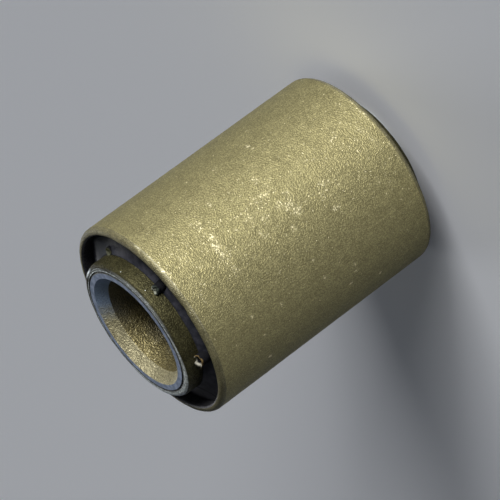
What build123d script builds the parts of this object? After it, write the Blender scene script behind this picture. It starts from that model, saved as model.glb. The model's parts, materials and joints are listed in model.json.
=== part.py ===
from build123d import *

import os

# Rubber metal bush: a thin outer sleeve and a thick inner sleeve of steel, one inside the other,
# with a rubber body moulded between them and bonded to both. The inner sleeve is the longer and
# stands out equally at both ends, so that a clamped joint bears on it and not on the rubber.
# Millimetres. +Z is the axis of the bush, and the origin is the middle of the lower end face of
# the inner sleeve, on which the bush stands. Outlines are drawn as (radius, height above the
# middle of the bush), one half each, and mirrored, because both ends are turned alike.

# Sizes across the bush, from the bore outwards
BORE_DIAMETER = 22.2
INNER_WALL = 4.9
RUBBER_THICKNESS = 4.625
OUTER_WALL = 1.6

# Sizes along the bush
OUTER_LENGTH = 57.0
INNER_STANDOUT = 3.5  # how far the inner sleeve stands out past each end of the outer one

# Outer sleeve ends
OUTER_EDGE_RADIUS = 1.1
OUTER_BORE_BREAK = 0.3

# Inner sleeve ends: a wide countersink, a faced ring, a turned groove and a rounded rim
MOUTH_WIDTH = 1.7
MOUTH_DEPTH = 2.3
FACED_RING_WIDTH = 1.25
GROOVE_WIDTH = 0.5
GROOVE_DEPTH = 0.3
RIM_DROP = 0.06  # the rim lies this far below the faced ring, which alone bears
RIM_RADIUS = 1.0

# Rubber ends: a dished face, nearly flush at the inner sleeve and sunk at the outer one
RUBBER_INSET_AT_INNER = 0.3
RUBBER_INSET_AT_OUTER = 2.6
RUBBER_DISH = 0.2  # how far the slope sags below a straight cone

# Torn-off moulding gates, on the upper face of the rubber only: one stub for each tip
GATE_FIRST_ANGLE = 226.0
GATE_SPACING = 60.0
GATE_TIP_RISES = (1.2, 0.9, -0.3)  # each was torn at its own height, measured from the outer sleeve's end
GATE_ROOT_DIAMETER = 2.6
GATE_TIP_DIAMETER = 1.9
GATE_TO_SLEEVE = 0.1  # clear of the inner sleeve
GATE_ROOT_DEPTH = 0.6  # root sunk below the rubber's slope

# Places that follow from the sizes
bore_radius = BORE_DIAMETER / 2
inner_radius = bore_radius + INNER_WALL
rubber_radius = inner_radius + RUBBER_THICKNESS
outer_radius = rubber_radius + OUTER_WALL
outer_half = OUTER_LENGTH / 2
inner_half = outer_half + INNER_STANDOUT


def turned(half_outline):
    """Solid of revolution about Z from the upper half of its outline, set at its height in the bush."""
    whole_outline = half_outline + mirror(half_outline, about=Plane.XZ)
    section = Plane.XZ * make_face(whole_outline.edges())
    return Pos(0, 0, inner_half) * revolve(section, Axis.Z)


def outer_sleeve():
    """Thin tube with well rounded outside edges, which lead it into its housing."""
    bore_corner = (rubber_radius, outer_half - OUTER_BORE_BREAK)
    face_start = (rubber_radius + OUTER_BORE_BREAK, outer_half)
    face_end = (outer_radius - OUTER_EDGE_RADIUS, outer_half)
    edge_centre = (outer_radius - OUTER_EDGE_RADIUS, outer_half - OUTER_EDGE_RADIUS)
    outline = Curve() + [
        Polyline((rubber_radius, 0), bore_corner, face_start, face_end),
        CenterArc(edge_centre, OUTER_EDGE_RADIUS, 0, 90),
        Line((outer_radius, outer_half - OUTER_EDGE_RADIUS), (outer_radius, 0)),
    ]
    return turned(outline)


def inner_sleeve():
    """Thick tube, countersunk at both ends, with a faced ring, a fine groove and a rounded rim."""
    mouth_radius = bore_radius + MOUTH_WIDTH
    ring_radius = mouth_radius + FACED_RING_WIDTH
    rim_height = inner_half - RIM_DROP
    rim_centre = (inner_radius - RIM_RADIUS, rim_height - RIM_RADIUS)
    outline = Curve() + [
        Polyline(
            (bore_radius, 0),
            (bore_radius, inner_half - MOUTH_DEPTH),
            (mouth_radius, inner_half),
            (ring_radius, inner_half),
            (ring_radius + GROOVE_WIDTH / 2, inner_half - GROOVE_DEPTH),
            (ring_radius + GROOVE_WIDTH, rim_height),
            (inner_radius - RIM_RADIUS, rim_height),
        ),
        CenterArc(rim_centre, RIM_RADIUS, 0, 90),
        Line((inner_radius, rim_height - RIM_RADIUS), (inner_radius, 0)),
    ]
    return turned(outline)


def slope_height(radius):
    """Height of the straight cone that the rubber's end face follows, above the bush's middle."""
    share = (radius - inner_radius) / RUBBER_THICKNESS
    inset = RUBBER_INSET_AT_INNER + share * (RUBBER_INSET_AT_OUTER - RUBBER_INSET_AT_INNER)
    return outer_half - inset


def rubber_blank():
    """Rubber between the sleeves, with a dished face at each end."""
    middle_radius = (inner_radius + rubber_radius) / 2
    inner_corner = (inner_radius, slope_height(inner_radius))
    dish_point = (middle_radius, slope_height(middle_radius) - RUBBER_DISH)
    outer_corner = (rubber_radius, slope_height(rubber_radius))
    outline = Curve() + [
        Line((inner_radius, 0), inner_corner),
        ThreePointArc(inner_corner, dish_point, outer_corner),
        Line(outer_corner, (rubber_radius, 0)),
    ]
    return turned(outline)


def gates():
    """Tapered stubs where the rubber was torn from its moulding gates, along a part of a circle."""
    gate_circle = inner_radius + GATE_TO_SLEEVE + GATE_ROOT_DIAMETER / 2
    root_height = slope_height(gate_circle + GATE_ROOT_DIAMETER / 2) - GATE_ROOT_DEPTH
    gate_count = len(GATE_TIP_RISES)
    places = PolarLocations(gate_circle, gate_count, GATE_FIRST_ANGLE, gate_count * GATE_SPACING)
    stubs = []
    for place, tip_rise in zip(places, GATE_TIP_RISES):
        stub = Cone(
            GATE_ROOT_DIAMETER / 2,
            GATE_TIP_DIAMETER / 2,
            outer_half + tip_rise - root_height,
            align=(Align.CENTER, Align.CENTER, Align.MIN),
        )
        stubs.append(place * Pos(0, 0, inner_half + root_height) * stub)
    return stubs


def rubber_body():
    """Rubber with its gates, as one moulding."""
    return rubber_blank() + gates()


os.makedirs("parts", exist_ok=True)
export_step(outer_sleeve(), "parts/outer_sleeve.step")
export_step(inner_sleeve(), "parts/inner_sleeve.step")
export_step(rubber_body(), "parts/rubber_body.step")
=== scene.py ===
import itertools
import json
import math

import bpy
import numpy as np
from mathutils import Matrix, Vector


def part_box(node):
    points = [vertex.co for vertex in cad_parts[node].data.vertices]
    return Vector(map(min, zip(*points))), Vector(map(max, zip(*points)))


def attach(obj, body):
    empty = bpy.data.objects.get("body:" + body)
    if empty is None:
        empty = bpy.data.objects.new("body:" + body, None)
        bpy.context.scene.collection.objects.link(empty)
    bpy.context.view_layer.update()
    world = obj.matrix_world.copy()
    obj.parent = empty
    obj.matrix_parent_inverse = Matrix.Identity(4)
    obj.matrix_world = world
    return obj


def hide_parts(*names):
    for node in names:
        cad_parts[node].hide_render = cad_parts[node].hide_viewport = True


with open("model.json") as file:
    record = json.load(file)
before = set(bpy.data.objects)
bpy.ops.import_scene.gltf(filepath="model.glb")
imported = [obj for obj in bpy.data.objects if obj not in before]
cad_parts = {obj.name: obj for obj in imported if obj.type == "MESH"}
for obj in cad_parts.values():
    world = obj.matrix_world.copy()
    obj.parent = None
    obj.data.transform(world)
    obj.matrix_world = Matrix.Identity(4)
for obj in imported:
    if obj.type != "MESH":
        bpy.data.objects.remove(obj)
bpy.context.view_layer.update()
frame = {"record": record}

# Rubber metal bush, standing on its lower end. Metres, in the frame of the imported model: +Z is the
# axis of the bush. A bearing is an angle round that axis, in degrees, from -Y towards +X.

MM = 0.001

# ---- sizes, read from the frame where the frame has them ----
outer_low, outer_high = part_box("outer_sleeve")
inner_low, inner_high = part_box("inner_sleeve")
rubber_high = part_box("rubber_body")[1]
bore_mount = next(mount for mount in frame["record"]["mounts"] if mount["name"] == "bore")
BORE_RADIUS = bore_mount["dims"]["r_mm"] * MM
INNER_RADIUS = inner_high.x
RUBBER_RADIUS = rubber_high.x
OUTER_RADIUS = outer_high.x
MIDDLE = (inner_high.z + inner_low.z) / 2
INNER_HALF = (inner_high.z - inner_low.z) / 2
OUTER_HALF = (outer_high.z - outer_low.z) / 2

EDGE_RADIUS = 1.1 * MM  # outside edges of the outer sleeve
BORE_BREAK = 0.3 * MM  # bevel at both ends of the outer sleeve's bore
MOUTH_WIDTH = 1.7 * MM  # countersink of the inner sleeve
MOUTH_DEPTH = 2.3 * MM
RING_WIDTH = 1.25 * MM  # faced ring round the countersink
GROOVE_WIDTH = 0.5 * MM  # groove round the faced ring
GROOVE_DEPTH = 0.3 * MM
RIM_DROP = 0.06 * MM  # the rim outside the groove lies this far below the faced ring
RIM_RADIUS = 1.0 * MM
RUBBER_INSET_AT_INNER = 0.3 * MM  # the rubber's end face lies this far below the end of the outer sleeve
RUBBER_INSET_AT_OUTER = 2.6 * MM
RUBBER_DISH = 0.2 * MM
MOUTH_RADIUS = BORE_RADIUS + MOUTH_WIDTH
RING_RADIUS = MOUTH_RADIUS + RING_WIDTH
GROOVE_RADIUS = RING_RADIUS + GROOVE_WIDTH
SHOULDER_RADIUS = INNER_RADIUS - RIM_RADIUS
CRISP = 0.03 * MM  # a crisp corner has further points this close to it
BOND = 0.05 * MM  # the rubber reaches this far into both sleeves, so that no gap shows

OUTER_COLUMNS = 448
INNER_COLUMNS = 356
RUBBER_COLUMNS = 360

# ---- bearings of the marks ----
SEAM_BEARING = -30.2
NICK_BEARING = -5.5
KNOCK_BEARING = 100.0
WORN_BEARING = -88.0
THIN_BEARING = 18.0
SHADE_TINT_BEARING = 105.0
MOUND_BEARING = 88.0
DUST_STREAK = -92.0

# ---- camera ----
AIM = Vector((-0.38 * MM, 0, 33.75 * MM))
CAMERA_DISTANCE = 0.7075
CAMERA_ELEVATION = 21.70
CAMERA_ROLL = -126.46
CAMERA_LENS = 251.2
SENSOR_WIDTH = 36.0
NEAREST, FARTHEST = 0.01, 100.0

# ---- light ----
# name: bearing and elevation that it shines from, how wide it looks, strength
LAMPS = {
    "key": (46.0, 18.0, 28.0, 1.9),
    "front": (28.0, 9.0, 24.0, 1.9),
    "back": (158.0, 15.0, 24.0, 0.55),
}
AMBIENT_COLOUR = (0.80, 0.93, 1.15)
AMBIENT_STRENGTH = 0.04
WALL_COLOUR = (0.331, 0.344, 0.364)
WALL_FADES = (0.08, 0.34)  # height, as the sine of the elevation, where the pale wall ends in a dark ceiling
CEILING_STRENGTH = 0.12
FLOOR_COLOUR = (0.92, 0.94, 0.98)
FLOOR_UNSEEN = (0.02, 0.02, 0.02)  # colour of the floor for the light that it throws back at the bush
FLOOR_RADIUS = 30.0
FLOOR_CORNERS = 96


# ---------------------------------------------------------------- surfaces

LATTICE = 96  # the random values repeat after this many cells


def grain(points, size, seed):
    """Smooth random relief from -1 to 1: random values on the corners of a cubic lattice of that
    size, blended across each cell by s = 3 t^2 - 2 t^3 along all three axes."""
    corners = np.random.default_rng(seed).uniform(-1, 1, (LATTICE,) * 3)
    place = np.asarray(points) / size
    cell = np.floor(place).astype(int)
    blend = place - cell
    blend = blend * blend * (3 - 2 * blend)
    total = 0.0
    for step in itertools.product((0, 1), repeat=3):
        weight = np.where(step, blend, 1 - blend).prod(axis=-1)
        index = (cell + step) % LATTICE
        total = total + weight * corners[index[..., 0], index[..., 1], index[..., 2]]
    return total


def rough(points, layers):
    """Random relief in layers, each (height, size, seed) with height and size in millimetres."""
    return sum(height * MM * grain(points, size * MM, seed) for height, size, seed in layers)


def bell(away, half):
    """exp(-(away / half)^2)."""
    return np.exp(-((away / half) ** 2))


def turned_from(turns, bearing):
    """Bearings measured from another one, from -180 up to 180."""
    return (turns - bearing + 180) % 360 - 180


def spot(turns, heights, centre, half_bearing, half_height):
    """Soft spot round centre, a bearing and a height: exp(-(db / half_bearing)^2 - (dh / half_height)^2)."""
    turned = turned_from(turns, centre[0])
    return np.exp(-((turned / half_bearing) ** 2) - ((heights - centre[1]) / half_height) ** 2)


def from_axis(grid):
    """Distance of each point from the axis."""
    return np.hypot(grid[..., 0], grid[..., 1])


def run(start, end, steps, crisp=False):
    """Straight stretch of an outline: start + t (end - start), t from 0 up to but without 1. A crisp
    one has further points close to both ends, so that the shading turns at its corners."""
    share = np.arange(steps) / steps
    if crisp:
        close = CRISP / math.dist(start, end)
        share = np.concatenate([[0, close], share[1:], [1 - close]])
    return np.array(start) + share[:, None] * (np.array(end) - np.array(start))


def turn(centre, radius, first, last, steps):
    """Round stretch of an outline: centre + radius (cos a, sin a), a from first up to but without last."""
    angle = np.radians(first + (last - first) * np.arange(steps) / steps)
    return np.array(centre) + radius * np.stack([np.cos(angle), np.sin(angle)], axis=-1)


def outward(outline):
    """Unit normals of a closed outline of (radius, height): its tangent, turned left by a right angle."""
    tangent = np.roll(outline, -1, axis=0) - np.roll(outline, 1, axis=0)
    tangent /= np.linalg.norm(tangent, axis=1, keepdims=True)
    return np.stack([-tangent[:, 1], tangent[:, 0]], axis=-1)


def all_round(columns):
    """Bearings spaced evenly from -180 up to but without 180."""
    return np.arange(columns) * 360 / columns - 180


def round_axis(outline, bearings):
    """Grid of points: each (radius r, height h) of the outline carried round the axis to
    (r sin b, -r cos b, h) at every bearing b."""
    angle = np.radians(bearings)[None, :]
    radius = outline[..., 0]
    height = np.broadcast_to(outline[..., 1], np.broadcast_shapes(radius.shape, angle.shape))
    return np.stack([radius * np.sin(angle), -radius * np.cos(angle), height], axis=-1)


def swept(outline, bearings, relief):
    """Ring swept from a closed outline, pushed along its own normals by relief(grid, turns), where turns
    are the bearings of the grid's points."""
    plain = round_axis(outline[:, None, :], bearings)
    rise = relief(plain, np.broadcast_to(bearings, plain.shape[:2]))[..., None]
    moved = outline[:, None, :] + rise * outward(outline)[:, None, :]
    return round_axis(moved, bearings)


def grid_faces(rows, columns):
    """Corner numbers of the four-sided faces of a grid that closes on itself both ways."""
    corner = np.arange(rows * columns).reshape(rows, columns)
    below = np.roll(corner, -1, axis=0)
    quads = np.stack([corner, below, np.roll(below, -1, axis=1), np.roll(corner, -1, axis=1)], axis=-1)
    return quads.reshape(-1, 4)


def fan_faces(first, second, pole):
    """Corner numbers of the triangles between each edge from first to second and one pole."""
    return np.stack([first, second, np.full(len(first), pole)], axis=-1)


def new_piece(name, points, faces, finishes, finish_of_face=None, marks=None):
    """Mesh object from points and faces, with one finish per face and named values per point."""
    mesh = bpy.data.meshes.new(name)
    mesh.from_pydata(points.reshape(-1, 3), [], faces)
    for finish in finishes:
        mesh.materials.append(finish)
    if finish_of_face is not None:
        mesh.polygons.foreach_set("material_index", finish_of_face.astype(np.int32))
    mesh.polygons.foreach_set("use_smooth", np.ones(len(mesh.polygons), bool))
    for mark, values in (marks or {}).items():
        attribute = mesh.attributes.new(mark, "FLOAT", "POINT")
        attribute.data.foreach_set("value", values.ravel().astype(np.float32))
    mesh.update()
    piece = bpy.data.objects.new(name, mesh)
    bpy.context.scene.collection.objects.link(piece)
    return piece


def lathe(name, stretches, columns, relief, finishes, marks):
    """Closed ring from stretches of outline, each (points, finish number), with marks as named
    functions of the grid and its bearings."""
    outline = np.vstack([points for points, finish in stretches])
    finish_of_row = np.concatenate([np.full(len(points), finish) for points, finish in stretches])
    bearings = all_round(columns)
    grid = swept(outline, bearings, relief)
    turns = np.broadcast_to(bearings, grid.shape[:2])
    values = {mark: make(grid, turns) for mark, make in marks.items()}
    faces = grid_faces(*turns.shape).tolist()
    return new_piece(name, grid, faces, finishes, np.repeat(finish_of_row, columns), values)


# ---------------------------------------------------------------- finishes

# Bluish tint of what the coatings throw back at a glance: painted reflection of blue surroundings.
BLUE_REFLECTION_TINT = (0.10, 0.16, 0.36, 1.0)  # what the coatings throw back at a glance
TUBE_LINES = (1.0, 1.0, 0.03)  # draws a pattern out into lines along the tube
LINE_SIZE = 0.45 * MM
SEAM_PALE = 0.16 * MM  # half widths of the pale line of the seam and of the dark one beside it
SEAM_DARK = 0.2 * MM
SEAM_STEP = 0.25 * MM  # from the pale line to the dark one
SEAM_CONTRAST = 0.12
FINE_GRAIN = 0.6  # size of the finer grains, as a share of the coarse ones
MOTTLE_SIZE = 2.2 * MM
PIT_SIZE = 0.6 * MM
FLECK_SIZE = 1.15  # as a share of the grains' size
FLECK_THRESHOLD = 0.72  # a pattern from 0 to 1 shows as flecks above this
FLECK_EDGE = 0.06  # how far above it a fleck is fully pale
FLECKS_WHERE_RUBBED = 0.20  # how much lower the threshold lies where the coating is rubbed
COATING_ROUGHNESS = 0.5
COATING_UNEVEN = 0.04  # its roughness is more and less by this
TOOL_PITCH = 0.12 * MM
TOOL_DEPTH = 0.006 * MM
SPECKLE_SIZE = 0.6 * MM
SPECKLE_DEPTH = 0.03 * MM
HOLLOW_COLOUR = (0.008, 0.008, 0.010)


def shader(name):
    """New material with its node tree, its surface shader and its Object coordinates."""
    material = bpy.data.materials.new(name)
    material.use_nodes = True
    tree = material.node_tree
    surface = next(node for node in tree.nodes if node.type == "BSDF_PRINCIPLED")
    place = tree.nodes.new("ShaderNodeTexCoord").outputs["Object"]
    return material, tree, surface, place


def plug(tree, socket, source):
    """Sets a socket to a plain value, or links it to another node's output."""
    if isinstance(source, bpy.types.NodeSocket):
        tree.links.new(source, socket)
    else:
        socket.default_value = source


def reckon(tree, operation, first, second=None, third=None):
    """One step of arithmetic on one, two or three values."""
    node = tree.nodes.new("ShaderNodeMath")
    node.operation = operation
    for socket, source in zip(node.inputs, (first, second, third)):
        if source is not None:
            plug(tree, socket, source)
    return node.outputs[0]


def reckon_vector(tree, operation, first, second=None):
    """One step of arithmetic on coordinates or a colour. DOT_PRODUCT and LENGTH give a number."""
    node = tree.nodes.new("ShaderNodeVectorMath")
    node.operation = operation
    plug(tree, node.inputs[0], first)
    if second is not None:
        plug(tree, node.inputs["Scale" if operation == "SCALE" else 1], second)
    return node.outputs["Value" if operation in ("DOT_PRODUCT", "LENGTH") else "Vector"]


def noise(tree, place, size, detail=2.0, roughness=0.55):
    """Random pattern from 0 to 1 with spots of that size in metres."""
    node = tree.nodes.new("ShaderNodeTexNoise")
    plug(tree, node.inputs["Vector"], place)
    node.inputs["Scale"].default_value = 1 / size
    node.inputs["Detail"].default_value = detail
    node.inputs["Roughness"].default_value = roughness
    return node.outputs["Fac"]


def mark_on(tree, name):
    """A value that the mesh carries on its points."""
    node = tree.nodes.new("ShaderNodeAttribute")
    node.attribute_name = name
    return node.outputs["Fac"]


def spread(tree, source, low, high, to_low=0.0, to_high=1.0):
    """Source stretched so that low..high becomes to_low..to_high, and held there outside."""
    node = tree.nodes.new("ShaderNodeMapRange")
    node.interpolation_type = "SMOOTHSTEP"
    plug(tree, node.inputs["Value"], source)
    plug(tree, node.inputs["From Min"], low)
    plug(tree, node.inputs["From Max"], high)
    node.inputs["To Min"].default_value = to_low
    node.inputs["To Max"].default_value = to_high
    return node.outputs["Result"]


def blend_colours(tree, share, first, second):
    """Two colours mixed by share."""
    node = tree.nodes.new("ShaderNodeMix")
    node.data_type = "RGBA"
    plug(tree, node.inputs["Factor"], share)
    for socket, source in ((node.inputs[6], first), (node.inputs[7], second)):
        plug(tree, socket, (*source, 1.0) if isinstance(source, tuple) else source)
    return node.outputs[2]


def dimmed(tree, colour, factor):
    """Colour times a number."""
    return reckon_vector(tree, "SCALE", colour, factor)


def bumped(tree, height, depth):
    """Fine relief of that depth in metres, on top of the mesh's own shape."""
    node = tree.nodes.new("ShaderNodeBump")
    node.inputs["Strength"].default_value = 1.0
    node.inputs["Distance"].default_value = depth
    plug(tree, node.inputs["Height"], height)
    return node.outputs["Normal"]


def grains(tree, place, size):
    """Granular pattern from 0 to 1: coarse grains of that size with finer ones between them, mostly
    below the middle, with few bright ones."""
    coarse = noise(tree, place, size, 1.0, 0.6)
    fine = noise(tree, place, size * FINE_GRAIN, 0.0)
    both = reckon(tree, "MULTIPLY", reckon(tree, "ADD", coarse, fine), 0.5)
    return spread(tree, both, 0.34, 0.74)


def plane_lines(tree, place, bearing):
    """Signed distance from the upright plane through the axis at that bearing."""
    angle = math.radians(bearing)
    return reckon_vector(tree, "DOT_PRODUCT", place, (math.cos(angle), math.sin(angle), 0.0))


def drawn(tree, place, colour):
    """Colour with the marks of a drawn tube: faint lines along it, and a pale seam with a dark side."""
    lines = noise(tree, reckon_vector(tree, "MULTIPLY", place, TUBE_LINES), LINE_SIZE, 1.0, 0.5)
    colour = dimmed(tree, colour, spread(tree, lines, 0.2, 0.8, 0.95, 1.05))
    across = plane_lines(tree, place, SEAM_BEARING)
    front = spread(tree, plane_lines(tree, place, SEAM_BEARING - 90), 0.0, 1 * MM)
    beside = reckon(tree, "ADD", across, SEAM_STEP)
    pale = spread(tree, reckon(tree, "ABSOLUTE", across), 0.0, SEAM_PALE, 1.0, 0.0)
    shade = spread(tree, reckon(tree, "ABSOLUTE", beside), 0.0, SEAM_DARK, 1.0, 0.0)
    lighter = reckon(tree, "MULTIPLY", pale, SEAM_CONTRAST)
    change = reckon(tree, "MULTIPLY_ADD", shade, -SEAM_CONTRAST, lighter)
    return dimmed(tree, colour, reckon(tree, "MULTIPLY_ADD", change, front, 1.0))


def sprayed_coating(
    name, dark, light, fleck, metal, size=0.36, depth=0.062, contrast=0.34, share=0.0, veil=0.14, pits=0.0,
    lined=False, shade_and_reflection=None,
):
    """Granular sprayed coating: mottled from dark to light, grained from 1 - 0.7 contrast to 1 + 1.3
    contrast times that, pitted, veiled and flecked with a pale colour where the mesh marks rubbing and
    painted sheen, and tinted to a colour of painted shade and reflection where the mesh says so.
    Size and depth of the grains are in millimetres, and a greater share gives more flecks."""
    material, tree, surface, place = shader(name)
    mottle = noise(tree, place, MOTTLE_SIZE, 3.0, 0.6)
    colour = blend_colours(tree, spread(tree, mottle, 0.3, 0.7), dark, light)
    if lined:
        colour = drawn(tree, place, colour)
    grain_here = grains(tree, place, size * MM)
    tone = reckon(tree, "MULTIPLY_ADD", grain_here, 2 * contrast, 1 - 0.7 * contrast)
    colour = dimmed(tree, colour, tone)
    if pits:
        holes = noise(tree, place, PIT_SIZE, 1.0)
        colour = dimmed(tree, colour, spread(tree, holes, 0.27, 0.36, 1 - pits, 1.0))
    rubbed_and_sheen = mark_on(tree, "rubbed_and_sheen")
    colour = blend_colours(tree, spread(tree, rubbed_and_sheen, 0.1, 1.3, 0.0, veil), colour, fleck)
    specks = noise(tree, place, FLECK_SIZE * size * MM, 1.0)
    threshold = reckon(tree, "MULTIPLY_ADD", rubbed_and_sheen, -FLECKS_WHERE_RUBBED, FLECK_THRESHOLD - share)
    pale = spread(tree, specks, threshold, reckon(tree, "ADD", threshold, FLECK_EDGE))
    colour = blend_colours(tree, pale, colour, fleck)
    if shade_and_reflection is not None:
        uneven = reckon(tree, "MULTIPLY_ADD", mottle, 0.5, mark_on(tree, "shade_and_reflection"))
        colour = blend_colours(tree, spread(tree, uneven, 0.45, 0.95), colour, shade_and_reflection)
    gloss = (COATING_ROUGHNESS - COATING_UNEVEN, COATING_ROUGHNESS + COATING_UNEVEN)
    plug(tree, surface.inputs["Base Color"], colour)
    surface.inputs["Metallic"].default_value = metal
    surface.inputs["Specular IOR Level"].default_value = 0.3
    surface.inputs["Specular Tint"].default_value = BLUE_REFLECTION_TINT
    plug(tree, surface.inputs["Roughness"], spread(tree, mottle, 0.2, 0.8, *gloss))
    plug(tree, surface.inputs["Normal"], bumped(tree, grain_here, depth * MM))
    return material


def faced_steel():
    """Turned end face: dull, mottled steel, coloured bluish as a painted reflection of blue surroundings,
    with tool marks round the axis, the sine of 2 pi r / TOOL_PITCH, where r = sqrt(x^2 + y^2)."""
    material, tree, surface, place = shader("faced_steel")
    mottle = spread(tree, noise(tree, place, 1.6 * MM, 4.0), 0.3, 0.7)
    # Bluish colours: painted reflection of blue surroundings on the steel.
    colour = blend_colours(tree, mottle, (0.21, 0.26, 0.36), (0.39, 0.46, 0.60))
    plug(tree, surface.inputs["Base Color"], colour)
    surface.inputs["Metallic"].default_value = 0.25
    surface.inputs["Roughness"].default_value = 0.75
    surface.inputs["Specular IOR Level"].default_value = 0.1
    radius = reckon_vector(tree, "LENGTH", reckon_vector(tree, "MULTIPLY", place, (1.0, 1.0, 0.0)))
    ridges = reckon(tree, "SINE", reckon(tree, "MULTIPLY", radius, 2 * math.pi / TOOL_PITCH))
    plug(tree, surface.inputs["Normal"], bumped(tree, ridges, TOOL_DEPTH))
    return material


def painted_shade_grains(name, dark, light, metal, roughness):
    """Dull surface in dark and lighter grains, near black: painted shade for a recess."""
    material, tree, surface, place = shader(name)
    speckle = noise(tree, place, SPECKLE_SIZE)
    plug(tree, surface.inputs["Base Color"], blend_colours(tree, spread(tree, speckle, 0.4, 0.6), dark, light))
    surface.inputs["Metallic"].default_value = metal
    surface.inputs["Roughness"].default_value = roughness
    plug(tree, surface.inputs["Normal"], bumped(tree, speckle, SPECKLE_DEPTH))
    return material


def black_rubber():
    """Moulded rubber: nearly black, faintly violet in a thin uneven film, and dull where dust lies."""
    material, tree, surface, place = shader("black_rubber")
    film = noise(tree, place, 1.4 * MM, 3.0)
    colour = blend_colours(tree, spread(tree, film, 0.3, 0.75), (0.017, 0.018, 0.026), (0.050, 0.050, 0.064))
    dust = reckon(tree, "MULTIPLY", mark_on(tree, "dust_and_painted_light"), spread(tree, film, 0.2, 0.6, 0.6, 1.0))
    plug(tree, surface.inputs["Base Color"], blend_colours(tree, dust, colour, (0.020, 0.024, 0.030)))
    plug(tree, surface.inputs["Roughness"], spread(tree, dust, 0.0, 1.0, 0.6, 0.9))
    surface.inputs["Specular IOR Level"].default_value = 0.45
    fine = noise(tree, place, 0.5 * MM)
    plug(tree, surface.inputs["Normal"], bumped(tree, fine, 0.05 * MM))
    return material


def torn_rubber(name, pale, edge):
    """Torn rubber: an edge colour, pale in the crumbs where the mesh marks dust and painted light on the lit
    side, black in the hollows.
    """
    material, tree, surface, place = shader(name)
    crumbs = noise(tree, place, 0.36 * MM)
    dust_and_painted_light = reckon(tree, "MULTIPLY_ADD", crumbs, 1.6, mark_on(tree, "dust_and_painted_light"))
    colour = blend_colours(tree, spread(tree, dust_and_painted_light, 1.15, 1.60), edge, pale)
    deep = reckon(tree, "MULTIPLY_ADD", crumbs, 0.5, mark_on(tree, "hollow"))
    colour = blend_colours(tree, spread(tree, deep, 0.45, 0.95), colour, HOLLOW_COLOUR)
    plug(tree, surface.inputs["Base Color"], colour)
    surface.inputs["Roughness"].default_value = 0.8
    surface.inputs["Specular IOR Level"].default_value = 0.12
    plug(tree, surface.inputs["Normal"], bumped(tree, crumbs, 0.16 * MM))
    return material


# ---------------------------------------------------------------- outer sleeve

COATING, EDGE, INNER_WALL = range(3)

# Relief of the outer sleeve: height and size in millimetres, seed
ORANGE_PEEL = ((0.030, 8.0, 1), (0.014, 1.3, 2), (0.016, 0.7, 3))
DRAW_LINES = ((0.006, 0.8, 4),)
ALONG_TUBE = np.array([1.0, 1.0, 0.04])  # draws the relief out into lines along the tube
SEAM_DEPTH = 0.015 * MM
SEAM_HALF_WIDTH = 0.25 * MM
NICK_DEPTH = 0.35 * MM
NICK_HALF_TURN = 1.6  # degrees
NICK_HALF_HEIGHT = 0.5 * MM
NICK_REACH = 0.6 * MM  # how far out from the bore the nick goes

# Faint rubbing between the scuffs, and clusters of flecks in it, both centred on the lit band of the shell,
# so that they are partly painted sheen: bearing, half width in degrees, strength
SHEEN_HAZE = (10, 28, 0.20)
SHEEN_CLUSTERS = (8, 24, 0.45)
CLUSTER_SIZE = 2.6 * MM
CLUSTER_SEED = 5
CLUSTER_START = 0.1  # random values above this show as clusters

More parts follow.
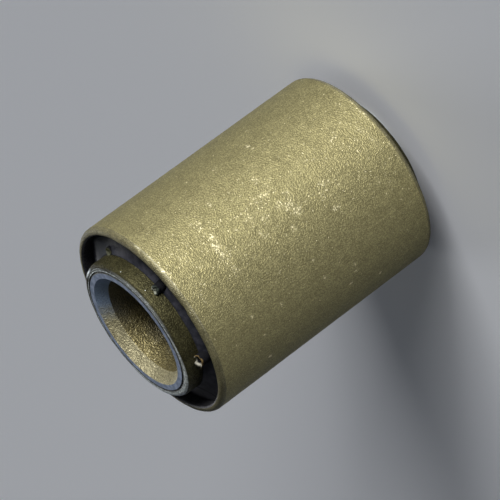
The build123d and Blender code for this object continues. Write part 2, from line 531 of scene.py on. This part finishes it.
# Patches where the coating is rubbed pale: bearing, height, half width in degrees, half height, strength.
# Heights are in millimetres.
SCUFFS = [
    (10.2, 47.8, 4.0, 1.1, 1.3),
    (15.5, 47.2, 4.0, 1.1, 0.9),
    (4.9, 48.1, 4.0, 1.0, 1.0),
    (-4.5, 47.6, 4.5, 1.2, 0.75),
    (25.0, 47.8, 4.5, 1.1, 0.75),
    (9.0, 47.8, 19.0, 1.5, 0.6),
    (0.8, 29.6, 3.2, 1.2, 1.35),
    (5.7, 30.3, 3.0, 1.4, 1.25),
    (10.2, 29.0, 3.5, 1.0, 0.8),
    (8.6, 31.8, 3.0, 1.1, 1.05),
    (17.4, 32.8, 2.8, 1.5, 1.05),
    (27.0, 32.0, 3.2, 1.2, 0.85),
    (-4.9, 32.4, 2.4, 1.0, 0.9),
    (7.7, 36.2, 3.5, 1.3, 0.75),
    (13.0, 38.2, 6.0, 1.8, 0.65),
    (2.0, 38.6, 5.0, 1.2, 0.6),
    (15.0, 35.0, 7.0, 2.6, 0.6),
    (3.9, 21.6, 3.6, 1.3, 0.95),
    (0.5, 23.4, 3.0, 0.9, 0.3),
    (-9.6, 22.3, 1.6, 1.2, 1.2),
    (19.9, 13.4, 1.1, 2.2, 0.7),
    (14.0, 7.6, 5.0, 1.0, 0.8),
    (6.0, 7.2, 8.0, 1.1, 0.65),
    (-6.0, 56.4, 8.0, 1.0, 0.6),
    (21.7, 51.9, 3.0, 0.8, 0.7),
    (32.0, 42.6, 3.0, 0.8, 0.7),
    (48.0, 26.9, 1.2, 0.6, 2.0),
    (44.7, 26.7, 0.8, 0.5, 1.2),
    (53.4, 41.6, 1.0, 0.6, 1.0),
    (49.0, 35.4, 1.2, 0.6, 1.0),
    (-25.0, 32.2, 1.4, 0.9, 0.7),
    (-46.9, 23.9, 1.1, 0.6, 1.6),
    (-42.7, 24.0, 1.2, 0.6, 1.6),
    (-62.6, 47.8, 1.3, 0.5, 2.1),
    (-62.5, 18.1, 1.1, 0.5, 1.9),
    (-37.6, 31.5, 1.2, 0.5, 1.9),
    (-30.3, 49.3, 1.1, 0.5, 1.6),
    (-34.5, 42.4, 1.1, 0.5, 1.6),
    (-52.9, 25.8, 1.1, 0.5, 1.8),
    (-44.8, 48.3, 1.0, 0.5, 1.1),
    # Thin lines along the two edges of the tube, on the stretch that the lamps light: rubbed edges that also
    # paint the edges' highlights.
    (20.0, 59.5, 22.0, 0.20, 0.85),
    (17.0, 59.45, 3.0, 0.30, 1.25),
    (14.2, 59.1, 2.2, 0.42, 1.5),
    (21.6, 59.1, 1.8, 0.40, 1.6),
    (8.0, 59.45, 2.0, 0.25, 1.0),
    (36.0, 59.5, 3.0, 0.25, 1.1),
    (-12.0, 59.6, 12.0, 0.18, 0.7),
    (20.0, 4.85, 18.0, 0.28, 0.95),
    (-6.0, 4.90, 14.0, 0.22, 0.95),
    (45.0, 4.25, 30.0, 0.22, 0.7),
]


def shell_rubbing_and_sheen(grid, turns):
    """How far the coating is rubbed pale, with painted sheen round the lit band: a haze, strength
    exp(-(db / half)^2), clusters in it with clip(g - CLUSTER_START, 0, 1) of random g, and the strongest
    scuff where that reaches further."""
    heights = grid[..., 2]
    haze_bearing, haze_half, haze_strength = SHEEN_HAZE
    cluster_bearing, cluster_half, cluster_strength = SHEEN_CLUSTERS
    clusters = np.clip(grain(grid, CLUSTER_SIZE, CLUSTER_SEED) - CLUSTER_START, 0, 1)
    clusters *= bell(turns - cluster_bearing, cluster_half)
    total = haze_strength * bell(turns - haze_bearing, haze_half) + cluster_strength * clusters
    for bearing, height, half_bearing, half_height, strength in SCUFFS:
        scuff = spot(turns, heights, (bearing, height * MM), half_bearing, half_height * MM)
        total = np.maximum(total, strength * scuff)
    return total


def shell_relief(grid, turns):
    """Orange peel of the coating in three sizes, draw lines along the tube, a fine seam, and a nick in
    the edge of the bore."""
    seam = (turns - SEAM_BEARING) * math.radians(1) * OUTER_RADIUS
    nick = spot(turns, grid[..., 2], (NICK_BEARING, MIDDLE + OUTER_HALF), NICK_HALF_TURN, NICK_HALF_HEIGHT)
    inside = from_axis(grid) < RUBBER_RADIUS + NICK_REACH
    return (
        rough(grid, ORANGE_PEEL)
        + rough(grid * ALONG_TUBE, DRAW_LINES)
        - SEAM_DEPTH * bell(seam, SEAM_HALF_WIDTH)
        - NICK_DEPTH * nick * inside
    )


def outer_shell():
    """Thin outer sleeve with rounded outside edges."""
    top = MIDDLE + OUTER_HALF
    bottom = MIDDLE - OUTER_HALF
    face = OUTER_RADIUS - EDGE_RADIUS
    bevel = RUBBER_RADIUS + BORE_BREAK
    seen = 3.0 * MM  # how far in the bore has finer steps
    stretches = [
        (run((RUBBER_RADIUS, bottom + BORE_BREAK), (RUBBER_RADIUS, bottom + seen), 8), INNER_WALL),
        (run((RUBBER_RADIUS, bottom + seen), (RUBBER_RADIUS, top - seen), 4), INNER_WALL),
        (run((RUBBER_RADIUS, top - seen), (RUBBER_RADIUS, top - BORE_BREAK), 8), INNER_WALL),
        (run((RUBBER_RADIUS, top - BORE_BREAK), (bevel, top), 2), INNER_WALL),
        (run((bevel, top), (face, top), 1), EDGE),
        (turn((face, top - EDGE_RADIUS), EDGE_RADIUS, 90, 0, 9), EDGE),
        (run((OUTER_RADIUS, top - EDGE_RADIUS), (OUTER_RADIUS, bottom + EDGE_RADIUS), 166), COATING),
        (turn((face, bottom + EDGE_RADIUS), EDGE_RADIUS, 0, -90, 9), EDGE),
        (run((face, bottom), (bevel, bottom), 1), EDGE),
        (run((bevel, bottom), (RUBBER_RADIUS, bottom + BORE_BREAK), 2), INNER_WALL),
    ]
    finishes = [
        sprayed_coating(
            "bronze_coating", dark=(0.355, 0.315, 0.151), light=(0.415, 0.370, 0.181),
            fleck=(0.93, 0.84, 0.51), metal=0.62, lined=True
        ),
        # Darker than the tube's coating, to take back light that the rounded edges catch: painted shade.
        sprayed_coating(
            "shaded_edge_coating", dark=(0.21, 0.19, 0.105), light=(0.30, 0.27, 0.145),
            fleck=(0.92, 0.87, 0.62), metal=0.5, share=-0.05, veil=0.6
        ),
        # Near black: painted shade on the inner wall, in the recess above the rubber.
        painted_shade_grains(
            "inner_wall_painted_shade", dark=(0.030, 0.030, 0.040), light=(0.070, 0.068, 0.075),
            metal=0.2, roughness=0.6
        ),
    ]
    marks = {"rubbed_and_sheen": shell_rubbing_and_sheen}
    shell = lathe("outer_shell", stretches, OUTER_COLUMNS, shell_relief, finishes, marks)
    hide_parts("outer_sleeve")
    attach(shell, "root")


# ---------------------------------------------------------------- inner sleeve

BORE, COUNTERSINK, FACED, GROOVE, COLLAR = range(5)

# Relief of the inner sleeve: height and size in millimetres, seed
CORE_GRAIN = ((0.014, 1.1, 11), (0.012, 0.6, 12))
RIM_KNOCKS = ((0.05, 2.2, 13),)
RIM_SUNK = 0.03 * MM  # the knocked rim lies this far in on the whole
KNOCKS_REACH = 1.5 * MM  # how far from the end of the sleeve the knocks go
KNOCKS_GROW = 1.2 * MM  # and over what length they grow to their full height
KNOCKS_INSIDE = 14.6 * MM  # no knocks within this radius
HARDER = 2.2  # how much harder they are at KNOCK_BEARING
HARDER_HALF = 13  # half widths are in degrees, here and below

# Wear of the rim, measured from the groove's outer edge, out and down
WEAR_LEAST = 0.24  # reach in millimetres, far from WORN_BEARING
WEAR_MORE = 1.30  # how much further it goes at WORN_BEARING
WEAR_HALF = 58
WEAR_FADE = 0.3 * MM
WEAR_STRENGTH = 1.65
WEAR_UNEVEN = 0.6
WEAR_SIZE = 0.7 * MM
WEAR_SEED = 14
WEAR_INSIDE = GROOVE_RADIUS - 0.1 * MM  # no wear within this radius
THIN_STRENGTH = 1.05
THIN_START = 2.3
THIN_FADE = 0.7 * MM
THIN_HALF = 36
# strength, turn from KNOCK_BEARING, half width, length, half length
KNOCK_WEAR = (1.8, 0, 8, 1.0 * MM, 0.5 * MM)
BURR_WEAR = (1.5, -20, 16, 0.55 * MM, 0.13 * MM)

# Painted shade in the bore, on its side away from the lamps and deeper in, and a painted blue reflection in
# its mouth
SHADE_HALF_WALL = 60
SHADE_HALF_MOUTH = 43
# Painted shade grows over this depth of the bore, up to this share:
SHADE_DEEPENS_OVER = 7 * MM
DEEP_SHADE_SHARE = 0.55  # how bare the bore is from that depth on


def core_relief(grid, turns):
    """Coating grain on the inner sleeve, and a rim that is knocked a little out of true, most of all
    round KNOCK_BEARING, by 1 + HARDER exp(-(db / HARDER_HALF)^2)."""
    level = np.abs(grid[..., 2] - MIDDLE)
    near_end = np.clip((level - INNER_HALF + KNOCKS_REACH) / KNOCKS_GROW, 0, 1)
    at_rim = near_end * (from_axis(grid) > KNOCKS_INSIDE)
    harder = 1 + HARDER * bell(turns - KNOCK_BEARING, HARDER_HALF)
    return rough(grid, CORE_GRAIN) + at_rim * harder * (rough(grid, RIM_KNOCKS) - RIM_SUNK)


def rim_wear_and_painted_light(grid, turns):
    """How far the coating is rubbed off the rim, as the strongest of four marks, by the length l out and
    down from the groove. This pale wear also serves as painted light: the glints of the knocks and burr,
    and fill light on the rim's side away from the lamps round WORN_BEARING. Worn, up to a reach that grows
    round WORN_BEARING: WEAR_STRENGTH + WEAR_UNEVEN g, with random g, times
    clip((reach - l) / WEAR_FADE + 0.5, 0, 1). Thin, round THIN_BEARING: clip(THIN_START - l / THIN_FADE, 0,
    1) exp(-(db / THIN_HALF)^2). Last, the knocks and a burr beside them: exp(-(db / half)^2 - (dl / half
       length)^2)."""
    radius = from_axis(grid)
    length = radius - GROOVE_RADIUS + INNER_HALF - RIM_DROP - np.abs(grid[..., 2] - MIDDLE)
    reach = (WEAR_LEAST + WEAR_MORE * bell(turned_from(turns, WORN_BEARING), WEAR_HALF)) * MM
    uneven = WEAR_STRENGTH + WEAR_UNEVEN * grain(grid, WEAR_SIZE, WEAR_SEED)
    wear = [uneven * np.clip((reach - length) / WEAR_FADE + 0.5, 0, 1)]
    thin = np.clip(THIN_START - length / THIN_FADE, 0, 1)
    wear.append(THIN_STRENGTH * thin * bell(turns - THIN_BEARING, THIN_HALF))
    for strength, turned, half, middle, half_length in (KNOCK_WEAR, BURR_WEAR):
        away = (turns - KNOCK_BEARING - turned) / half
        wear.append(strength * np.exp(-(away ** 2) - ((length - middle) / half_length) ** 2))
    return np.max(wear, axis=0) * (radius > WEAR_INSIDE)


def bore_painted_shade_and_reflection(grid, turns):
    """Where the mouth of the bore takes a painted blue reflection, and more widely its wall a painted shade:
    exp(-(db / half)^2) round SHADE_TINT_BEARING, on the side away from the lamps. The painted shade also
    grows over the first SHADE_DEEPENS_OVER of depth."""
    depth = INNER_HALF - MOUTH_DEPTH - np.abs(grid[..., 2] - MIDDLE)
    half = np.where(depth > 0, SHADE_HALF_WALL, SHADE_HALF_MOUTH)
    deep_shade = DEEP_SHADE_SHARE * np.clip(depth / SHADE_DEEPENS_OVER, 0, 1)
    return np.maximum(bell(turned_from(turns, SHADE_TINT_BEARING), half), deep_shade)


def core_tube():
    """Thick inner sleeve: countersunk, faced, grooved and with a rounded rim at both ends."""
    top, bottom = MIDDLE + INNER_HALF, MIDDLE - INNER_HALF
    rim_top, rim_bottom = top - RIM_DROP, bottom + RIM_DROP
    groove = RING_RADIUS + GROOVE_WIDTH / 2
    deep = 16 * MM  # how far in the bore has finer steps
    seen = 8 * MM  # how far down the outside has finer steps
    stretches = [
        (run((BORE_RADIUS, bottom + MOUTH_DEPTH), (BORE_RADIUS, bottom + deep), 36), BORE),
        (run((BORE_RADIUS, bottom + deep), (BORE_RADIUS, top - deep), 26), BORE),
        (run((BORE_RADIUS, top - deep), (BORE_RADIUS, top - MOUTH_DEPTH), 44, True), BORE),
        (run((BORE_RADIUS, top - MOUTH_DEPTH), (MOUTH_RADIUS, top), 13, True), COUNTERSINK),
        (run((MOUTH_RADIUS, top), (RING_RADIUS, top), 5, True), FACED),
        (run((RING_RADIUS, top), (groove, top - GROOVE_DEPTH), 3), GROOVE),
        (run((groove, top - GROOVE_DEPTH), (GROOVE_RADIUS, rim_top), 3), GROOVE),
        (run((GROOVE_RADIUS, rim_top), (SHOULDER_RADIUS, rim_top), 3, True), COLLAR),
        (turn((SHOULDER_RADIUS, rim_top - RIM_RADIUS), RIM_RADIUS, 90, 0, 12), COLLAR),
        (run((INNER_RADIUS, rim_top - RIM_RADIUS), (INNER_RADIUS, top - seen), 26), COLLAR),
        (run((INNER_RADIUS, top - seen), (INNER_RADIUS, bottom + seen), 8), COLLAR),
        (run((INNER_RADIUS, bottom + seen), (INNER_RADIUS, rim_bottom + RIM_RADIUS), 26), COLLAR),
        (turn((SHOULDER_RADIUS, rim_bottom + RIM_RADIUS), RIM_RADIUS, 0, -90, 12), COLLAR),
        (run((SHOULDER_RADIUS, rim_bottom), (GROOVE_RADIUS, rim_bottom), 3, True), COLLAR),
        (run((GROOVE_RADIUS, rim_bottom), (groove, bottom + GROOVE_DEPTH), 3), GROOVE),
        (run((groove, bottom + GROOVE_DEPTH), (RING_RADIUS, bottom), 3), GROOVE),
        (run((RING_RADIUS, bottom), (MOUTH_RADIUS, bottom), 5, True), FACED),
        (run((MOUTH_RADIUS, bottom), (BORE_RADIUS, bottom + MOUTH_DEPTH), 13, True), COUNTERSINK),
    ]
    bore_grain = dict(size=0.42, depth=0.08, share=0.05, pits=0.6)
    finishes = [
        sprayed_coating(
            "bore_coating", dark=(0.29, 0.245, 0.115), light=(0.41, 0.35, 0.17),
            # Greyish dark colour: painted shade in the bore.
            fleck=(0.95, 0.86, 0.54), metal=0.8, contrast=0.42, shade_and_reflection=(0.19, 0.185, 0.155), **bore_grain
        ),
        sprayed_coating(
            "mouth_coating", dark=(0.35, 0.315, 0.187), light=(0.463, 0.418, 0.254),
            # Bluish colour: painted reflection of blue surroundings in the mouth.
            fleck=(0.92, 0.83, 0.53), metal=0.5, shade_and_reflection=(0.34, 0.44, 0.60), **bore_grain
        ),
        faced_steel(),
        # Near black: painted shade in the groove round the faced ring.
        painted_shade_grains("groove_painted_shade", dark=(0.025, 0.03, 0.03), light=(0.10, 0.10, 0.08), metal=0.0, roughness=0.7),
        # Far darker than the other coatings: painted shade on the inner sleeve's outside, between the rim
        # and the rubber.
        sprayed_coating(
            "shaded_collar_coating", dark=(0.056, 0.051, 0.023), light=(0.092, 0.084, 0.038),
            # Near-white flecks where the rim is worn, lightened further as painted fill light on its side
            # away from the lamps.
            fleck=(0.93, 0.98, 0.92), metal=0.6, size=0.42, contrast=0.45, share=-0.05, veil=0.60
        ),
    ]
    marks = {"rubbed_and_sheen": rim_wear_and_painted_light, "shade_and_reflection": bore_painted_shade_and_reflection}
    core = lathe("core_tube", stretches, INNER_COLUMNS, core_relief, finishes, marks)
    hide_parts("inner_sleeve")
    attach(core, "root")


# ---------------------------------------------------------------- rubber

# Relief of the rubber: height and size in millimetres, seed
RUBBER_FLOW = ((0.10, 3.5, 21), (0.03, 1.0, 22))
MOUND_RADIUS = 19.3 * MM  # its distance from the axis
MOUND_HEIGHT = 0.9 * MM
MOUND_HALF_WIDTH = 2 * MM
MOUND_HALF_TURN = 14  # degrees, as the next two are
DUST_HALF_TURN = 17
STREAK_HALF_TURN = 1.6


def slope_height(radius):
    """Height of the rubber's end face above the middle: a straight cone that sags between its ends."""
    share = (radius - INNER_RADIUS) / (RUBBER_RADIUS - INNER_RADIUS)
    inset = RUBBER_INSET_AT_INNER + share * (RUBBER_INSET_AT_OUTER - RUBBER_INSET_AT_INNER)
    return OUTER_HALF - inset - RUBBER_DISH * 4 * share * (1 - share)


def rubber_relief(grid, turns):
    """Uneven flow of the rubber, in two sizes, and at the upper end a low swelling beside the lowest
    gate: exp(-(db / MOUND_HALF_TURN)^2 - (dr / MOUND_HALF_WIDTH)^2)."""
    away = (turns - MOUND_BEARING) / MOUND_HALF_TURN
    across = (from_axis(grid) - MOUND_RADIUS) / MOUND_HALF_WIDTH
    mound = (grid[..., 2] > MIDDLE) * np.exp(-(away ** 2) - across ** 2)
    return rough(grid, RUBBER_FLOW) + MOUND_HEIGHT * mound


def rubber_dust(grid, turns):
    """Dust on the upper face of the rubber: thick on and beside the mound, and a streak at DUST_STREAK."""
    beside = bell(turns - MOUND_BEARING, DUST_HALF_TURN)
    streak = bell(turns - DUST_STREAK, STREAK_HALF_TURN)
    return np.clip(beside + streak, 0, 1) * (grid[..., 2] > MIDDLE)


def rubber_fill(rubber):
    """Rubber between the sleeves, with a dished face at each end."""
    radius = np.linspace(INNER_RADIUS - BOND, RUBBER_RADIUS + BOND, 24)
    upper = np.stack([radius, MIDDLE + slope_height(radius)], axis=-1)
    lower = np.stack([radius[::-1], MIDDLE - slope_height(radius[::-1])], axis=-1)
    stretches = [
        (run(lower[-1], upper[0], 4), 0),
        (upper[:-1], 0),
        (run(upper[-1], lower[0], 4), 0),
        (lower[:-1], 0),
    ]
    fill = lathe("rubber_fill", stretches, RUBBER_COLUMNS, rubber_relief, [rubber], {"dust_and_painted_light": rubber_dust})
    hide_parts("rubber_body")
    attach(fill, "root")


# Torn moulding gates: bearing, distance from the axis, root radius, tip radius, tip height, crater depth,
# direction of the pale side, painted as the lit side, in degrees from +X towards +Y, how much higher that
# side is, and how black the crater is inside, from 0 to 1. Lengths are in millimetres.
GATES = {
    "gate_stub": (14.8, 16.9, 1.6, 0.92, 61.5, 0.05, 70.0, 0.20, 0.0),
    "gate_crater": (-44.5, 17.0, 1.5, 1.25, 61.4, 1.0, 95.0, 0.20, 1.0),
    "gate_mound": (74.0, 16.7, 1.3, 0.85, 60.3, 0.1, 120.0, 0.15, 0.0),
}
GATE_ROOT = 57.8 * MM  # height of the roots, sunk in the rubber
GATE_COLUMNS = 48
SIDE_ROWS = 16
CRATER_ROWS = 8
GATE_TAPER = 0.8  # below 1 the side curves in from the root
TORN_SIZE = 0.5 * MM
TORN_HEIGHT = 0.42 * MM
TORN_WIDTH = 0.22 * MM
HEIGHT_SEED = 40
WIDTH_SEED = 50
TORN_PART = 8  # the last part of the side, one in this many, is torn as the crater is
DARK_PART = 6  # the side is dark but for its last part, one in this many
CRATER_DARKENS = 2.2
DUST_AT_MIDDLE = 0.55
# Paler by this on the side painted as lit, and darker opposite: painted light and shade.
LIT_SIDE_SWING = 0.75  # dustier by this on the pale side, and cleaner opposite
DUST_ON_POLES = 0.5


def torn_gate(name, finish, seed):
    """Tapered stub with a ragged, cratered end: rings of radius root + (tip - root) s^GATE_TAPER up the
    side, s from 0 to 1, then in to the middle of the crater, of radius tip t and depth crater (1 - t^2),
    t from 1 to 0. Random relief, which grows as s^3 and is full in the crater, roughens each ring, and
    the pale side stands higher."""
    bearing, away, root, tip, top, crater, painted_lit_side, lift, black = GATES[name]
    turn_round = np.arange(GATE_COLUMNS) * 2 * np.pi / GATE_COLUMNS
    side = np.linspace(0, 1, SIDE_ROWS)
    inner = np.linspace(1, 0, CRATER_ROWS + 2)[1:-1]
    radius = np.concatenate([root + (tip - root) * side ** GATE_TAPER, tip * inner]) * MM
    rise = np.concatenate([side, np.ones(len(inner))])
    height = GATE_ROOT + rise * (top * MM - GATE_ROOT)
    height[len(side):] -= crater * MM * (1 - inner ** 2)
    centre = math.radians(bearing)
    middle = np.array([away * MM * math.sin(centre), -away * MM * math.cos(centre), 0])
    x = radius[:, None] * np.cos(turn_round)
    y = radius[:, None] * np.sin(turn_round)
    z = np.broadcast_to(height[:, None], x.shape)
    grid = np.stack([x, y, z], axis=-1) + middle
    ragged = rise[:, None] ** 3
    facing = np.cos(turn_round - math.radians(painted_lit_side)) * radius[:, None] / (tip * MM)
    torn_end = np.clip(TORN_PART * rise[:, None] - (TORN_PART - 1), 0, 1)
    wander = TORN_WIDTH * grain(grid, TORN_SIZE, WIDTH_SEED + seed) * ragged / (tip * MM)
    uneven = TORN_HEIGHT * grain(grid, TORN_SIZE, HEIGHT_SEED + seed)
    grid[..., 2] += ragged * (uneven + lift * MM * facing)
    grid[..., :2] += wander[..., None] * (grid - middle)[..., :2]
    # Pale towards the side painted as lit, dark opposite: painted light and shade on each gate.
    dust_and_painted_light = np.clip(DUST_AT_MIDDLE + LIT_SIDE_SWING * facing, 0, 1) * torn_end
    dark_side = np.clip(DARK_PART * (1 - side), 0, 1)
    dark_crater = np.clip(CRATER_DARKENS * black * (1 - inner), 0, 1)
    hollow = np.broadcast_to(np.concatenate([dark_side, dark_crater])[:, None], dust_and_painted_light.shape)
    marks = {
        "dust_and_painted_light": np.append(dust_and_painted_light, [DUST_ON_POLES, DUST_ON_POLES]),
        "hollow": np.append(hollow, [black, 1.0]),
    }
    rows = len(grid)
    quads = grid_faces(rows, GATE_COLUMNS).reshape(rows, GATE_COLUMNS, 4)[:-1, :, ::-1].reshape(-1, 4)
    first = np.arange(GATE_COLUMNS)
    last = first + (rows - 1) * GATE_COLUMNS
    crater_pole = rows * GATE_COLUMNS
    cap = fan_faces(last, np.roll(last, -1), crater_pole)
    foot = fan_faces(np.roll(first, -1), first, crater_pole + 1)
    poles = np.array([grid[-1].mean(axis=0), grid[0].mean(axis=0)])
    points = np.vstack([grid.reshape(-1, 3), poles])
    stub = new_piece(name, points, quads.tolist() + cap.tolist() + foot.tolist(), [finish], marks=marks)
    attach(stub, "root")


# ---------------------------------------------------------------- stage, light and camera


def seen_directly(tree):
    """1 for the rays that show a surface to the eye, straight, in a gloss or through glass, else 0."""
    path = tree.nodes.new("ShaderNodeLightPath").outputs
    shown = reckon(tree, "MAXIMUM", path["Is Camera Ray"], path["Is Glossy Ray"])
    return reckon(tree, "MAXIMUM", shown, path["Is Transmission Ray"])


def floor():
    """Wide plain disc under the bush."""
    material, tree, surface = shader("pale_floor")[:3]
    colour = blend_colours(tree, seen_directly(tree), FLOOR_UNSEEN, FLOOR_COLOUR)
    plug(tree, surface.inputs["Base Color"], colour)
    surface.inputs["Roughness"].default_value = 0.9
    surface.inputs["Specular IOR Level"].default_value = 0.0
    turn_round = np.arange(FLOOR_CORNERS) * 2 * np.pi / FLOOR_CORNERS
    rim = np.stack([np.cos(turn_round), np.sin(turn_round), np.zeros(FLOOR_CORNERS)], axis=-1)
    disc = new_piece("floor", FLOOR_RADIUS * rim, [tuple(range(FLOOR_CORNERS))], [material])


def sun(name, bearing, elevation, size, strength):
    """Soft distant lamp that shines from a bearing and an elevation."""
    lamp = bpy.data.lights.new(name, "SUN")
    lamp.energy = strength
    lamp.angle = math.radians(size)
    holder = bpy.data.objects.new(name, lamp)
    b, e = math.radians(bearing), math.radians(elevation)
    towards = Vector((math.sin(b) * math.cos(e), -math.cos(b) * math.cos(e), math.sin(e)))
    holder.rotation_euler = towards.to_track_quat("Z", "Y").to_euler()
    bpy.context.scene.collection.objects.link(holder)


def surroundings():
    """Weak cool light from all round, which shows as a pale wall as bright as the floor, under a darker
    ceiling."""
    world = bpy.data.worlds.new("studio")
    bpy.context.scene.world = world
    world.use_nodes = True
    tree = world.node_tree
    light = next(node for node in tree.nodes if node.type == "BACKGROUND")
    light.inputs["Color"].default_value = (*AMBIENT_COLOUR, 1.0)
    light.inputs["Strength"].default_value = AMBIENT_STRENGTH
    direction = tree.nodes.new("ShaderNodeTexCoord").outputs["Generated"]
    upward = tree.nodes.new("ShaderNodeSeparateXYZ")
    plug(tree, upward.inputs[0], direction)
    wall = tree.nodes.new("ShaderNodeBackground")
    wall.inputs["Color"].default_value = (*WALL_COLOUR, 1.0)
    wall_strength = spread(tree, upward.outputs["Z"], *WALL_FADES, 1.0, CEILING_STRENGTH)
    plug(tree, wall.inputs["Strength"], wall_strength)
    either = tree.nodes.new("ShaderNodeMixShader")
    plug(tree, either.inputs[0], seen_directly(tree))
    plug(tree, either.inputs[1], light.outputs[0])
    plug(tree, either.inputs[2], wall.outputs[0])
    output = next(node for node in tree.nodes if node.type == "OUTPUT_WORLD")
    plug(tree, output.inputs["Surface"], either.outputs[0])


def camera():
    """Long lens, tilted down to the bush and rolled, so that the axis runs across the picture."""
    lens = bpy.data.cameras.new("camera")
    lens.lens = CAMERA_LENS
    lens.sensor_width = SENSOR_WIDTH
    lens.clip_start, lens.clip_end = NEAREST, FARTHEST
    holder = bpy.data.objects.new("camera", lens)
    tilt, roll = math.radians(CAMERA_ELEVATION), math.radians(CAMERA_ROLL)
    right = Vector((1, 0, 0))
    up = Vector((0, math.sin(tilt), math.cos(tilt)))
    back = Vector((0, -math.cos(tilt), math.sin(tilt)))
    rolled_right = right * math.cos(roll) + up * math.sin(roll)
    rolled_up = up * math.cos(roll) - right * math.sin(roll)
    turned = Matrix((rolled_right, rolled_up, back)).transposed().to_4x4()
    holder.matrix_world = Matrix.Translation(AIM + back * CAMERA_DISTANCE) @ turned
    bpy.context.scene.collection.objects.link(holder)
    bpy.context.scene.camera = holder


rubber = black_rubber()
outer_shell()
core_tube()
rubber_fill(rubber)
torn_gate("gate_stub", torn_rubber("stub_gate_painted_light", pale=(0.34, 0.35, 0.28), edge=(0.035, 0.042, 0.034)), 0)
torn_gate("gate_crater", torn_rubber("pale_gate", pale=(0.46, 0.44, 0.36), edge=(0.18, 0.125, 0.05)), 1)
torn_gate("gate_mound", torn_rubber("low_gate", pale=(0.105, 0.108, 0.07), edge=(0.042, 0.043, 0.022)), 2)
floor()
for name, lamp in LAMPS.items():
    sun(name, *lamp)
surroundings()
camera()
bpy.context.scene.view_settings.view_transform = "Standard"
